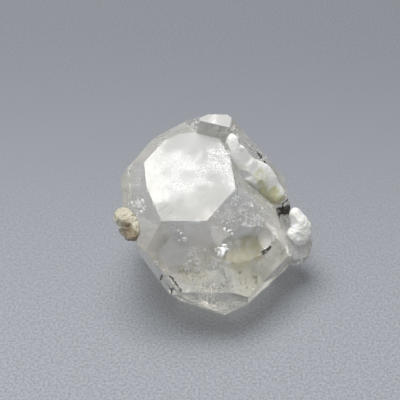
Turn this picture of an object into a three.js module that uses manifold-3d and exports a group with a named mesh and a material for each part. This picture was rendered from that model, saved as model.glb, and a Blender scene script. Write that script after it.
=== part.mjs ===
// A colourless topaz crystal, grown together with a smaller parallel individual and a rounded knob,
// with white feldspar in the joins and a weathered lump of matrix on its left side.
// Millimetres, +Z up, +X to the right and +Y to the back. The origin is at the bottom centre of the
// bounding box, on the surface that the stone rests on.

import * as THREE from 'three';
import { mergeVertices } from 'three/addons/utils/BufferGeometryUtils.js';
import Module from 'manifold-3d';

const wasm = await Module();
wasm.setup();

// Driving dimensions, in millimetres and degrees.
const CENTRE_HEIGHT = 11;
const C_AXIS_LEAN = 23;
const TOP_FACE_RISE = 8;
const STEP_RISE = 1.9;
const MINERAL_GAP = 0.3;
const BLOCK = 60;
const RINGS = 6;
const MERIDIANS = 10;

// Growth faces of the main crystal: bearing round the c axis, slope away from it, and distance from
// the centre. The first is the bright top face, the next nine slope down from it, and the rest are
// the upright faces of the girdle.
const MAIN_GROWTH_FACES = [
  { bearing: 0, slope: 0, distance: TOP_FACE_RISE },
  { bearing: 187, slope: 38, distance: 9.5 },
  { bearing: 203, slope: 43.7, distance: 9.4 },
  { bearing: 270, slope: 45.6, distance: 9.78 },
  { bearing: 321, slope: 45.6, distance: 9.35 },
  { bearing: 9, slope: 55, distance: 8.78 },
  { bearing: 27, slope: 43.7, distance: 9.52 },
  { bearing: 97, slope: 45.6, distance: 9.7 },
  { bearing: 115, slope: 50, distance: 9.42 },
  { bearing: 141, slope: 45.6, distance: 9.4 },
  { bearing: 226, slope: 90, distance: 9.7 },
  { bearing: 204, slope: 90, distance: 8.75 },
  { bearing: 184, slope: 90, distance: 8.2 },
  { bearing: 143, slope: 90, distance: 7.2 },
  { bearing: 130, slope: 90, distance: 7.75 },
  { bearing: 96, slope: 90, distance: 9.9 },
  { bearing: 270, slope: 90, distance: 12.3 },
  { bearing: 318, slope: 90, distance: 13.5 },
  { bearing: 10, slope: 70, distance: 9.92 },
  { bearing: 50, slope: 90, distance: 8.0 },
];

// Growth faces of the second individual, which stands behind the main crystal on the right. Its top
// face is parallel to the main one and higher by the step.
const SECOND_GROWTH_FACES = [
  { bearing: 0, slope: 0, distance: TOP_FACE_RISE + STEP_RISE },
  { bearing: 255, slope: 67, distance: -2.13 },
  { bearing: 187, slope: 75, distance: 0.6 },
  { bearing: 117, slope: 61, distance: 9.55 },
  { bearing: 89, slope: 63.9, distance: 10.9 },
  { bearing: 350, slope: 50, distance: 9.24 },
  { bearing: 50, slope: 79.7, distance: 10.06 },
  { bearing: 96, slope: 90, distance: 9.6 },
];

// Broken faces: compass bearing with 0 to the right and 90 to the back, elevation of the outward
// side, and distance from the centre. The last is the small flat that the stone rests on.
const BREAKS = [
  { bearing: 200, elevation: -26.6, distance: 7.9 },
  { bearing: 246, elevation: -36, distance: 11.47 },
  { bearing: 319.5, elevation: -40, distance: 13.9 },
  { bearing: 80, elevation: -20, distance: 8.6 },
  { bearing: 135, elevation: -14, distance: 8.4 },
  { bearing: 35, elevation: -18, distance: 9.9 },
  { bearing: 100, elevation: -58, distance: 10.7 },
  { bearing: 160, elevation: -52, distance: 10.6 },
  { bearing: 30, elevation: -60, distance: 12.0 },
  { bearing: 0, elevation: -90, distance: CENTRE_HEIGHT },
];

// Directions along the seam, down to the right, and out of it towards the front.
const SEAM_RUN = [0.584, -0.129, -0.802];
const SEAM_OUT = [0.25, -0.74, 0.62];

// Rounded bodies: centre, radii along, across and out, and a number that sets their waves.
const SEAM_BEADS = [
  { at: [5.05, 0.75, 20.7], radii: [1.4, 0.65, 0.65], seed: 1 },
  { at: [5.55, 0.25, 19.6], radii: [1.5, 1.0, 0.85], seed: 2 },
  { at: [6.4, -0.15, 18.3], radii: [1.8, 1.25, 1.0], seed: 3 },
  { at: [7.5, -0.25, 16.8], radii: [2.0, 1.5, 1.1], seed: 4 },
  { at: [8.8, 0.2, 15.5], radii: [1.8, 1.6, 1.3], seed: 5 },
  { at: [9.8, 0.4, 14.2], radii: [2.0, 1.3, 1.3], seed: 6 },
  { at: [10.6, 0.1, 12.9], radii: [1.6, 1.0, 1.0], seed: 7 },
  { at: [11.15, -0.05, 11.95], radii: [0.9, 0.75, 0.85], seed: 8 },
];
const CRUST_BEADS = [
  { at: [12.65, -0.85, 11.75], radii: [0.9, 0.5, 0.55], seed: 11 },
  { at: [13.3, -1.35, 10.6], radii: [1.2, 1.0, 1.0], seed: 12 },
  { at: [13.6, -1.9, 9.5], radii: [1.3, 1.25, 1.15], seed: 13 },
  { at: [13.2, -2.6, 8.4], radii: [1.2, 1.15, 1.05], seed: 14 },
];
const CRUST_RUN = [0.09, -0.48, -0.875];
const LUMP_BEADS = [
  { at: [-8.25, -4.95, 13.85], radii: [1.3, 1.15, 1.1], seed: 21 },
  { at: [-7.5, -6.1, 13.5], radii: [1.65, 1.55, 1.35], seed: 22 },
  { at: [-6.75, -7.4, 13.2], radii: [1.45, 1.15, 1.1], seed: 23 },
];
const LUMP_RUN = [0.482, -0.838, -0.254];
const LUMP_OUT = [-0.8, -0.45, 0.25];
const KNOB_BEAD = { at: [13.2, -0.9, 5.6], radii: [2.55, 2.6, 3.4], seed: 31 };

// The flats of the knob lie parallel to faces of the main crystal.
const KNOB_FACES = [
  { bearing: 321, slope: 45.6, distance: 2.2 },
  { bearing: 9, slope: 55, distance: 2.3 },
  { bearing: 350, slope: 90, distance: 2.2 },
];

// A shallow curved chip out of the front right face, which runs up to the right across it.
const CHIP = { at: [6.9, -7.95, 11.7], radii: [4.1, 2.15, 1.1], seed: 41 };
const CHIP_RUN = [0.82, 0.54, -0.18];
const CHIP_OUT = [0.555, -0.687, 0.468];

const centre = new THREE.Vector3(0, 0, CENTRE_HEIGHT);
const lean = THREE.MathUtils.degToRad(C_AXIS_LEAN);
const aside = new THREE.Vector3(1, 0, 0);
const cAxis = new THREE.Vector3(0, -Math.sin(lean), Math.cos(lean));
const uphill = new THREE.Vector3().crossVectors(cAxis, aside);

function growthNormal({ bearing, slope }) {
  const b = THREE.MathUtils.degToRad(bearing);
  const s = THREE.MathUtils.degToRad(slope);
  return new THREE.Vector3()
    .addScaledVector(aside, Math.sin(s) * Math.cos(b))
    .addScaledVector(uphill, Math.sin(s) * Math.sin(b))
    .addScaledVector(cAxis, Math.cos(s));
}

function breakNormal({ bearing, elevation }) {
  const b = THREE.MathUtils.degToRad(bearing);
  const e = THREE.MathUtils.degToRad(elevation);
  return new THREE.Vector3(Math.cos(e) * Math.cos(b), Math.cos(e) * Math.sin(b), Math.sin(e));
}

// A closed three.js geometry as a solid that can be joined and cut.
function toSolid(geometry) {
  const bare = geometry.clone();
  bare.deleteAttribute('normal');
  bare.deleteAttribute('uv');
  const merged = mergeVertices(bare, 1e-4);
  return new wasm.Manifold(new wasm.Mesh({
    numProp: 3,
    vertProperties: Float32Array.from(merged.attributes.position.array),
    triVerts: Uint32Array.from(merged.index.array),
  }));
}

function toGeometry(solid) {
  const mesh = solid.getMesh();
  const geometry = new THREE.BufferGeometry();
  geometry.setAttribute('position', new THREE.BufferAttribute(mesh.vertProperties, 3));
  geometry.setIndex(new THREE.BufferAttribute(mesh.triVerts, 1));
  return geometry;
}

// A flat face: a large block whose near side lies on the face is taken away.
function cleave(solid, normal, distance) {
  const block = new THREE.BoxGeometry(BLOCK, BLOCK, BLOCK);
  const turn = new THREE.Quaternion().setFromUnitVectors(new THREE.Vector3(0, 0, 1), normal);
  const place = centre.clone().addScaledVector(normal, distance + BLOCK / 2);
  block.applyMatrix4(new THREE.Matrix4().compose(place, turn, new THREE.Vector3(1, 1, 1)));
  return solid.subtract(toSolid(block));
}

function faceted(growthFaces, breaks) {
  const rough = new THREE.BoxGeometry(BLOCK, BLOCK, BLOCK);
  rough.translate(centre.x, centre.y, centre.z);
  let solid = toSolid(rough);
  for (const face of growthFaces) solid = cleave(solid, growthNormal(face), face.distance);
  for (const face of breaks) solid = cleave(solid, breakNormal(face), face.distance);
  return solid;
}

// A bead is a ball stretched to three radii, with low waves on its surface. The margin widens it,
// for the bed that it lies in.
function bead({ at, radii, seed }, run, out, margin = 0) {
  const along = new THREE.Vector3(...run).normalize();
  const across = new THREE.Vector3().crossVectors(along, new THREE.Vector3(...out)).normalize();
  const outward = new THREE.Vector3().crossVectors(across, along);
  const ball = new THREE.SphereGeometry(1, MERIDIANS, RINGS);
  const points = ball.attributes.position;
  const p = new THREE.Vector3();
  for (let i = 0; i < points.count; i += 1) {
    p.fromBufferAttribute(points, i);
    const waves = Math.sin(3.1 * p.x + 1.7 * seed) + Math.sin(4.3 * p.y - 2.3 * seed) + Math.sin(3.7 * p.z + seed);
    p.multiplyScalar(1 + 0.06 * waves);
    const spot = new THREE.Vector3(...at)
      .addScaledVector(along, p.y * (radii[0] + margin))
      .addScaledVector(across, p.x * (radii[1] + margin))
      .addScaledVector(outward, p.z * (radii[2] + margin));
    points.setXYZ(i, spot.x, spot.y, spot.z);
  }
  return toSolid(ball);
}

function cluster(beads, run, out, margin = 0) {
  return beads.map((b) => bead(b, run, out, margin)).reduce((joined, next) => joined.add(next));
}

const MINERALS = [
  { name: 'feldspar_seam', beads: SEAM_BEADS, run: SEAM_RUN, out: SEAM_OUT, color: 0xd8d8cc },
  { name: 'feldspar_crust', beads: CRUST_BEADS, run: CRUST_RUN, out: SEAM_OUT, color: 0xe2e3de },
  { name: 'matrix_lump', beads: LUMP_BEADS, run: LUMP_RUN, out: LUMP_OUT, color: 0x95866a },
];

// The three grown bodies are one solid, with the chip and a bed for each mineral taken out of it.
let knob = bead(KNOB_BEAD, [1, 0, 0], [0, 0, 1]);
for (const face of KNOB_FACES) {
  const toKnob = new THREE.Vector3(...KNOB_BEAD.at).sub(centre).dot(growthNormal(face));
  knob = cleave(knob, growthNormal(face), toKnob + face.distance);
}
let crystal = faceted(MAIN_GROWTH_FACES, BREAKS)
  .add(faceted(SECOND_GROWTH_FACES, BREAKS))
  .add(knob)
  .subtract(bead(CHIP, CHIP_RUN, CHIP_OUT));
const solids = [];
for (const { name, beads, run, out, color } of MINERALS) {
  crystal = crystal.subtract(cluster(beads, run, out, MINERAL_GAP));
  solids.push({ name, solid: cluster(beads, run, out), color, roughness: 0.7 });
}
solids.unshift({ name: 'topaz_crystal', solid: crystal, color: 0xe9e8e2, roughness: 0.1 });

const stone = new THREE.Group();
for (const { name, solid, color, roughness } of solids) {
  const mesh = new THREE.Mesh(
    toGeometry(solid),
    new THREE.MeshStandardMaterial({ color, roughness, metalness: 0 }),
  );
  mesh.name = name;
  stone.add(mesh);
}

// The bottom centre of the bounding box becomes the origin.
const bounds = new THREE.Box3().setFromObject(stone);
const middle = bounds.getCenter(new THREE.Vector3());
for (const mesh of stone.children) mesh.geometry.translate(-middle.x, -middle.y, -bounds.min.z);

export default stone;
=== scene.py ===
"""A colourless topaz crystal with feldspar and matrix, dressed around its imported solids.

Lengths in the tables are millimetres in the crystal's own frame, in which the centre of the main
crystal stands 11 mm above the surface. place() turns them into metres in the model's frame.
"""
import math

import bmesh
import bpy
import numpy as np
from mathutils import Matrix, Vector
from bpy.props import FloatProperty, FloatVectorProperty, IntProperty, PointerProperty


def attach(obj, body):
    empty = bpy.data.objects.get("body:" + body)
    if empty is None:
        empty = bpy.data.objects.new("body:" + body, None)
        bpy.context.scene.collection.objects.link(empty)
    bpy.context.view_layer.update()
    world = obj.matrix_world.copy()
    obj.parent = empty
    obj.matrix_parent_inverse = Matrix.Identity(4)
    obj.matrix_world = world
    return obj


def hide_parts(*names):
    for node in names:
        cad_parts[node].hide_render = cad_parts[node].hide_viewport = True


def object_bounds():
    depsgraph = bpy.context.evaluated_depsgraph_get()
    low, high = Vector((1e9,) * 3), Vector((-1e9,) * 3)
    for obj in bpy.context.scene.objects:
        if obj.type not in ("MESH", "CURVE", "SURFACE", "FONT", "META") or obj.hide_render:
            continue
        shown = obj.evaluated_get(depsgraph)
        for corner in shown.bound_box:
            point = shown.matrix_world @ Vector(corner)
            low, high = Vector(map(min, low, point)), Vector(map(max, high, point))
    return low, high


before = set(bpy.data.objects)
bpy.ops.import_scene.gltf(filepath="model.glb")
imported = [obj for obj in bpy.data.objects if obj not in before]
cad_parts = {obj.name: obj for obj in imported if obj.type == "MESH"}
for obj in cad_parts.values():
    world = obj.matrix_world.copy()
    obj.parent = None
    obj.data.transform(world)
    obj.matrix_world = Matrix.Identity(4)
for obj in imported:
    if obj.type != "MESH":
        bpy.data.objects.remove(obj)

bl_info = {
    "name": "Topaz crystal",
    "version": (1, 0, 0),
    "blender": (4, 5, 0),
    "location": "View3D > Sidebar > Topaz",
    "description": "Builds a natural topaz crystal with feldspar in its joins",
    "category": "Add Mesh",
}

CAD_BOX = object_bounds()

# Places shared with the solids
MM = 0.001
CENTRE = np.array([0.0, 0.0, 11.0])
MIDDLE = np.array([3.2142, -0.933, 0.0])
CORE = np.array([4.4, 3.6, 11.8])
LEAN = math.radians(23)
ASIDE = np.array([1.0, 0.0, 0.0])
C_AXIS = np.array([0.0, -math.sin(LEAN), math.cos(LEAN)])
UPHILL = np.cross(C_AXIS, ASIDE)

# The photograph's camera
CAMERA_RISE = math.radians(42)
SIGHT = np.array([0.0, math.cos(CAMERA_RISE), -math.sin(CAMERA_RISE)])
SCREEN_UP = np.array([0.0, math.sin(CAMERA_RISE), math.cos(CAMERA_RISE)])
CAMERA_DISTANCE = 140.0
PIXELS_PER_MM = 8.0
PICTURE_WIDTH = 400
LOOK_AT = CENTRE + 1.25 * ASIDE + 0.5 * SCREEN_UP
EYE = LOOK_AT - CAMERA_DISTANCE * SIGHT
SENSOR = 36.0

# Growth faces: bearing round the c axis, slope away from it, distance from the centre
MAIN_FACES = {
    "top": (0, 0, 8.0),
    "left": (187, 38, 9.5),
    "front left": (203, 43.7, 9.4),
    "front": (270, 45.6, 9.78),
    "front right": (321, 45.6, 9.35),
    "right": (9, 55, 8.78),
    "back right": (27, 43.7, 9.52),
    "back": (97, 45.6, 9.7),
    "back middle": (115, 50, 9.42),
    "back left": (141, 45.6, 9.4),
    "girdle 226": (226, 90, 9.7),
    "girdle 204": (204, 90, 8.75),
    "girdle 184": (184, 90, 8.2),
    "girdle 143": (143, 90, 7.2),
    "girdle 130": (130, 90, 7.75),
    "girdle 96": (96, 90, 9.9),
    "girdle 270": (270, 90, 12.3),
    "girdle 318": (318, 90, 13.5),
    "flank": (10, 70, 9.92),
    "girdle 50": (50, 90, 8.0),
}
SECOND_FACES = {
    "step top": (0, 0, 9.9),
    "step front": (255, 67, -2.13),
    "step left": (187, 75, 0.6),
    "step back left": (117, 61, 9.55),
    "step back": (89, 63.9, 10.9),
    "step right": (350, 50, 9.24),
    "step girdle 50": (50, 79.7, 10.06),
    "step girdle 96": (96, 90, 9.6),
}
# Broken faces: compass bearing, elevation of the outward side, distance from the centre
BREAKS = {
    "break 200": (200, -26.6, 7.9),
    "break 246": (246, -36, 11.47),
    "break 319": (319.5, -40, 13.9),
    "break 80": (80, -20, 8.6),
    "break 135": (135, -14, 8.4),
    "break 35": (35, -18, 9.9),
    "break 100": (100, -58, 10.7),
    "break 160": (160, -52, 10.6),
    "break 30": (30, -60, 12.0),
    "base": (0, -90, 11.0),
}
KNOB_AT = np.array([13.25, -1.35, 5.45])
KNOB_RADII = np.array([2.45, 2.65, 3.05])
KNOB_FACES = {"a": (321, 45.6, 2.2), "b": (9, 55, 2.3), "c": (350, 90, 2.35)}
KNOB_CELLS = 40
KNOB_DENTS = 0.1
KNOB_FINE_DENTS = 0.03
CHIP_CENTRE = np.array([6.9, -7.95, 11.7])
CHIP_RADII = np.array([4.1, 2.15, 1.1])
CHIP_RUN = np.array([0.82, 0.54, -0.18])
CHIP_OUT = np.array([0.555, -0.687, 0.468])
CHIP_CELLS = 34
CHIP_RIPPLE = 0.03
CHIP_RIPPLE_TURN = 4.5
CHIP_RIPPLE_HUB = (-4.5, -1.5, 0.0)

# Where the surface is rough rather than clear: pixel, radius in mm, strength
FROSTED = [
    ((218, 150), 3.4, 0.55),
    ((226, 166), 2.8, 0.4),
    ((212, 172), 2.6, 0.35),
    ((214, 140), 2.0, 0.5),
    ((168, 214), 2.4, 0.9),
    ((184, 219), 1.8, 0.6),
    ((136, 203), 1.8, 0.8),
    ((226, 250), 1.8, 0.8),
    ((238, 214), 2.6, 0.6),
    ((262, 262), 2.4, 0.5),
    ((196, 258), 2.2, 0.6),
    ((206, 294), 2.6, 0.8),
    ((228, 132), 1.4, 0.6),
    ((256, 150), 1.8, 0.5),
    ((284, 216), 1.6, 0.5),
    ((170, 285), 2.4, 0.5),
]
# Where it is smooth but dull, so that it reflects less
DULLED = [
    ((182, 139), 3.8, 0.9),
    ((198, 140), 3.6, 0.9),
    ((212, 197), 3.6, 0.9),
    ((166, 160), 2.4, 0.4),
    ((229, 120), 1.2, 0.9),
    ((194, 208), 3.8, 0.8),
    ((184, 178), 1.8, 0.5),
    ((176, 200), 2.2, 0.6),
    ((166, 210), 2.2, 0.9),
    ((206, 118), 1.8, 0.85),
    ((222, 118), 1.6, 0.8),
    ((236, 255), 2.4, 1.0),
    ((250, 254), 2.6, 1.0),
]
# Painted shade: grey darkening where the darker floor and shadow below show through the clear crystal
PAINTED_SHADE_SPOTS = [
    ((172, 248), 3.6, 0.6),
    ((184, 256), 2.4, 0.43),
    ((250, 275), 4.0, 1.0),
    ((222, 280), 2.8, 0.9),
    ((182, 277), 2.0, 0.4),
    ((196, 279), 2.2, 0.45),
    ((209, 281), 1.8, 0.35),
]
# Brown stain in the chip and beside the feldspar, and painted shade low on the right where the shadow
# below shows through
STAINS_AND_PAINTED_SHADE = [
    ((250, 245), 2.2, 0.9),
    ((246, 250), 2.4, 0.85),
    ((239, 255), 2.8, 1.0),
    ((251, 253), 2.8, 1.0),
    ((194, 272), 2.2, 0.4),
    ((185, 271), 1.2, 0.7),
    ((190, 262), 1.0, 0.5),
    ((209, 258), 1.5, 0.6),
    ((214, 250), 1.2, 0.5),
    ((200, 284), 1.2, 0.4),
    # Painted shade: these three darken the lower right, where the shadow below shows through
    ((262, 268), 3.0, 0.35),
    ((250, 275), 3.2, 0.5),
    ((280, 254), 2.4, 0.4),
    ((282, 218), 1.2, 0.25),
]
# Streaked by flaws inside
FLAWED = [
    ((200, 264), 4.0, 1.0),
    ((232, 274), 4.5, 1.0),
    ((256, 270), 4.0, 1.0),
    ((244, 252), 3.0, 0.8),
    ((212, 296), 4.0, 1.0),
    ((160, 262), 3.5, 0.6),
    ((262, 222), 3.5, 0.5),
    ((230, 222), 3.0, 0.7),
]
# Faintly pink or cream inside
WARMED = [
    ((200, 240), 3.0, 0.8),
    ((190, 262), 3.0, 0.9),
    ((152, 252), 3.2, 0.9),
    ((160, 268), 3.2, 0.9),
    ((216, 226), 2.8, 0.7),
    ((196, 286), 4.0, 0.8),
    ((262, 232), 2.4, 0.6),
    ((214, 300), 3.0, 0.8),
    ((264, 226), 3.0, 0.5),
]
# The crystal's masks by name
SPOTS = {
    "frost": FROSTED,
    "dull": DULLED,
    "painted_shade": PAINTED_SHADE_SPOTS,
    "flawed": FLAWED,
    "warm": WARMED,
    "stain": STAINS_AND_PAINTED_SHADE,
}
# Black marks on the surface: pixels of the two ends, radius and raggedness in mm
BLACK_MARKS = [
    ((264, 252.7), (267.5, 250), 0.34, 0.08),
    ((267, 250.3), (270.5, 247.2), 0.24, 0.08),
    ((160.3, 280), (162, 275.5), 0.2, 0.06),
    ((169.5, 276.5), (173, 278.5), 0.14, 0.2),
    ((173, 280), (175.5, 282.5), 0.13, 0.2),
    ((175, 281.5), (177.5, 285.5), 0.12, 0.2),
    ((178, 287), (181, 290.5), 0.17, 0.15),
    ((166.5, 283), (169, 286.5), 0.17, 0.12),
    ((168.5, 286), (170, 290), 0.17, 0.12),
    ((170, 290), (173.5, 288.5), 0.17, 0.12),
    ((171.5, 290), (171.5, 293.5), 0.19, 0.1),
    ((277, 210.5), (281, 209.5), 0.32, 0.35),
    ((280, 209), (287.5, 210), 0.42, 0.5),
    ((280, 213), (284.5, 213.5), 0.36, 0.45),
    ((283, 207), (286.5, 207), 0.2, 0.35),
    ((285, 212.5), (288.5, 212.5), 0.22, 0.3),
    ((283, 203.8), (284.5, 202.5), 0.14, 0.2),
    ((286, 201.5), (287.5, 200), 0.14, 0.2),
    ((287.5, 211), (288, 214), 0.15, 0.25),
    ((288, 204), (290.5, 201.5), 0.15, 0.2),
    ((285, 227), (289.5, 224.5), 0.14, 0.25),
    ((258.5, 153.5), (261, 157), 0.3, 0.3),
    ((261, 157), (268, 166), 0.18, 0.2),
    ((244, 247), (244.6, 247.2), 0.15, 0.1),
    ((249.5, 252), (250, 252.4), 0.13, 0.1),
]
# Scratches on the top face
SCRATCHES = [
    ((158.5, 211.5), (168.5, 203.5), 0.05, 0.03),
    ((169.5, 213.5), (173, 210.5), 0.05, 0.03),
    ((205, 166), (221, 154), 0.04, 0.05),
]
# Tiny plates and bubbles, some in thin lines that paint edge highlights: pixels of the two ends, spread in
# pixels, depth in mm, count, size in mm
FROST_AND_EDGE_HIGHLIGHT_FIELDS = [
    ((160, 214), (180, 219), 3.0, 0.0, 70, 0.045),
    ((204, 146), (226, 172), 6.0, 0.0, 110, 0.05),
    ((150, 178), (166, 200), 6.0, 0.0, 30, 0.04),
    # Painted highlights: these four thin lines of white plates trace the rims of the top face
    ((147, 190), (162, 221), 0.5, 0.0, 40, 0.045),
    ((182, 222.5), (206, 221), 0.5, 0.0, 70, 0.06),
    ((207, 220), (235, 190), 0.5, 0.0, 110, 0.06),
    ((235, 186), (230, 160), 0.5, 0.0, 50, 0.05),
    ((132, 200), (142, 212), 3.5, 0.0, 90, 0.07),
    ((128, 168), (131, 205), 1.0, 0.0, 60, 0.05),
    ((138, 168), (142, 205), 1.5, 0.0, 60, 0.045),
    ((216, 263), (240, 261), 1.3, 0.0, 110, 0.09),
    ((240, 261), (268, 248), 1.3, 0.0, 110, 0.09),
    ((240, 224), (262, 228), 1.0, 0.0, 120, 0.09),
    ((262, 228), (273, 240), 1.0, 0.0, 50, 0.06),
    ((246, 202), (268, 238), 5.0, 0.0, 1100, 0.045),
    ((240, 196), (270, 240), 4.0, 0.0, 60, 0.08),
    ((210, 222), (246, 208), 6.0, 0.0, 700, 0.045),
    ((190, 262), (214, 292), 6.0, 0.1, 120, 0.08),
    ((150, 262), (172, 284), 4.0, 0.0, 100, 0.06),
    ((170, 290), (226, 308), 4.0, 0.1, 320, 0.09),
    ((212, 275), (256, 292), 7.0, 0.3, 60, 0.07),
    ((256, 262), (284, 256), 4.0, 0.3, 50, 0.07),
    ((252, 142), (266, 158), 2.5, 0.0, 110, 0.07),
    ((196, 291), (208, 299), 3.0, 0.0, 90, 0.10),
    ((178, 232), (186, 240), 2.0, 0.0, 30, 0.10),
    ((184, 298), (242, 304), 4.0, 0.0, 700, 0.06),
    ((214, 228), (240, 200), 5.0, 0.0, 60, 0.09),
    ((240, 196), (268, 236), 4.0, 0.0, 110, 0.07),
    ((190, 123), (227, 131), 2.5, 0.0, 1000, 0.045),
    ((134, 163), (136, 205), 4.0, 0.0, 200, 0.035),
    ((178, 286), (206, 298), 4.0, 0.0, 600, 0.045),
    ((196, 301), (242, 306), 3.0, 0.0, 420, 0.045),
    ((284, 246), (300, 256), 5.0, 0.1, 80, 0.08),
    ((186, 262), (208, 276), 5.0, 0.0, 260, 0.05),
    ((229, 158), (243, 170), 0.5, 0.0, 70, 0.07),
    ((243, 170), (258, 193), 0.5, 0.0, 90, 0.07),
    ((258, 193), (272, 207), 0.8, 0.0, 90, 0.07),
    ((228, 146), (254, 190), 1.6, 0.0, 260, 0.05),
    ((232, 128), (238, 138), 1.2, 0.0, 60, 0.06),
    ((225, 131), (229, 142), 1.4, 0.0, 60, 0.07),
]
# Plates on the knob: the first two rows paint the bright rim of gathered light along its foot, the third
# frosts it
KNOB_FROST_AND_PAINTED_RIM = [
    ((286, 262), (303, 262), 1.6, 0.0, 500, 0.09),
    ((303, 262), (312, 248), 1.2, 0.0, 150, 0.07),
    ((292, 250), (308, 246), 4.5, 0.0, 500, 0.05),
]
BROWN_FIELDS = [
    ((184, 266), (206, 280), 5.0, 0.4, 70, 0.07),
    ((232, 250), (254, 246), 4.0, 0.2, 60, 0.05),
    ((214, 276), (250, 270), 4.0, 0.5, 40, 0.06),
    ((230, 277), (258, 279), 8.0, 0.4, 200, 0.06),
    ((272, 243), (286, 256), 3.0, 0.3, 120, 0.06),
]
# Cleavage glints, flat on to the light as the top face is: pixel, half length in mm
GLINTS = [
    ((218, 248), 0.55), ((222, 252), 0.7), ((226, 248), 0.5), ((219, 254), 0.45), ((224, 245), 0.4),
    ((221, 250), 0.8), ((224, 248), 0.65), ((219, 251), 0.6), ((223, 254), 0.45), ((227, 251), 0.35),
    ((228, 231), 0.5), ((224, 229), 0.35), ((232, 233), 0.25), ((181, 233), 0.26), ((184, 238), 0.3),
    ((178, 230), 0.2), ((203, 294), 0.5), ((200, 298), 0.35), ((206, 290), 0.3), ((137, 247), 0.25),
    ((132, 202), 0.3), ((143, 200), 0.35), ((138, 207), 0.25), ((212, 262), 0.25), ((240, 214), 0.23),
    ((252, 206), 0.2), ((190, 261), 0.3), ((188, 290), 0.3), ((214, 284), 0.35), ((232, 270), 0.25),
    ((253, 289), 0.23), ((164, 270), 0.2), ((198, 264), 0.3), ((206, 270), 0.25), ((262, 208), 0.2),
]
# Bodies along a path: pixel and y of each station, half width and half thickness in mm
SEAM_STATIONS = [
    ((232, 133), 0.95, 0.3, 0.3),
    ((232.5, 140), 0.6, 0.75, 0.6),
    ((234.8, 150), 0.15, 1.15, 0.85),
    ((240.5, 160), -0.1, 1.3, 0.95),
    ((248, 170), -0.2, 1.6, 1.1),
    ((259.5, 177.5), 0.35, 1.8, 1.3),
    ((267, 187), 0.45, 1.55, 1.3),
    ((275, 195), 0.25, 1.2, 1.15),
    ((281, 202), 0.05, 0.8, 0.95),
]
CRUST_STATIONS = [
    ((293, 208), -0.8, 0.5, 0.5),
    ((295.5, 213.5), -1.2, 0.9, 0.8),
    ((299, 221), -1.6, 1.15, 1.05),
    ((300.5, 229), -2.1, 1.4, 1.2),
    ((296.5, 237), -2.6, 1.5, 1.2),
    ((290.5, 243), -2.85, 1.1, 0.95),
]
LUMP_STATIONS = [
    ((119, 209), -4.3, 0.9, 0.8),
    ((122.5, 215), -5.0, 1.3, 1.1),
    ((128.5, 223.5), -6.15, 1.75, 1.4),
    ((134, 233), -7.4, 1.4, 1.2),
    ((137, 241), -8.3, 0.85, 0.9),
]
SEAM_OUT = (0.2, -0.52, 0.83)
CRUST_OUT = (0.42, -0.62, 0.66)
LUMP_OUT = (-0.8, -0.45, 0.25)
# How much wider than its mineral a bed in the crystal is, and how deep its flats and crumb go, in mm
BED_GAP = 0.04
CUT_DEPTH = 0.1
CRUMB_DEPTH = 0.04
# Stain on the seam: pixel and y, radius in mm, strength
SEAM_STAINS = [
    ((260.5, 179), -0.8, 1.9, 0.4),
    ((271, 194), -0.7, 1.5, 1.0),
    ((277, 202), -0.8, 1.3, 0.9),
    ((251, 180), -0.9, 1.6, 0.45),
    ((262, 189), -0.9, 1.3, 0.6),
    ((241, 168), -0.9, 1.2, 0.3),
]

# Relief of the faces, in mm
SWELL_DEPTH = 0.05
SWELL_SIZE = 2.2
FINE_DEPTH = 0.012
FINE_SIZE = 0.5
TOP_SWELL_DEPTH = 0.02
TOP_FINE_DEPTH = 0.004
GROOVE_DEPTH = 0.008
GROOVE_TURN = 9.0
BREAK_DEPTH = 0.22
BREAK_SIZE = 1.6
RIPPLE_DEPTH = 0.05
RIPPLE_TURN = 5.5
RIPPLE_HUB = CENTRE + np.array([4.0, -14.0, -16.0])
BASE_DEPTH = 0.002
EDGE_FADE = 0.7

# Plates
PLATE_CORNERS = 8
PLATE_THICKNESS = 0.1
PLATE_TRIES = 3
PLATE_DROPPED = 0.62
PLATE_LEAN = 0.9
KNOB_PLATE_LEAN = 2.5
GLINT_TILT = 0.05

# Angles past which a piece's edges are sharp, in degrees
CRYSTAL_CREASE = 18
PLATE_CREASE = 15
MINERAL_CREASE = 60

# Grain of the materials: coarse and fine scale, and depth in metres
TOPAZ_GRAIN = (500.0, 4200.0, 0.000006)
FELDSPAR_GRAIN = (700.0, 3800.0, 0.00013)
MATRIX_GRAIN = (650.0, 2400.0, 0.0002)
PLATE_GRAIN = (900.0, 5000.0, 0.00001)
FROST_DEPTH = 0.00002

# Colours that the panel doesn't change
CLEAREST = (0.99, 0.98, 0.96)
FROST_SPECK = (0.6, 0.6, 0.58)
HAIRLINE = (0.25, 0.25, 0.27)
BLACK = (0.02, 0.016, 0.012)
ABSORBED = (0.94, 0.935, 0.89, 1.0)
ABSORPTION = 45.0
SHADOW_VEIL = (0.36, 0.35, 0.33, 1.0)
GREY_FELDSPAR = (0.92, 0.92, 0.87)
FELDSPAR_SPECK = (0.25, 0.24, 0.2)
CHALK = (0.96, 0.96, 0.93)
CLEAVAGE = (0.95, 0.95, 0.94)
LAMP_WHITE = (1.0, 0.995, 0.985)
SKY_WHITE = (0.96, 0.98, 1.0, 1.0)

# The stage, in metres
FLOOR_REACH = 1.5
# Where the floor's painted light falloff runs from light at the front to dark at the back, along y
FLOOR_NEAR = -0.024
FLOOR_FAR = 0.061
LAMP_AWAY = Vector((-0.05, 0.045, 0.345))

# Shares of the crystal's masks away from their spots
KNOB_FROSTING = 0.15
FOOT_FROSTING = 0.6
FOOT_HEIGHTS = (3.5, 0.5)
KNOB_WARMTH = 0.3
LEAST_FLAWED = 0.2

# Roughness, least and most
TOPAZ_ROUGHNESS = (0.04, 0.5)
FELDSPAR_ROUGHNESS = (0.35, 0.75)
MATRIX_ROUGHNESS = (0.65, 0.95)
CLOUD_DULLNESS = 0.35
BLACK_ROUGHNESS = 0.9

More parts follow.
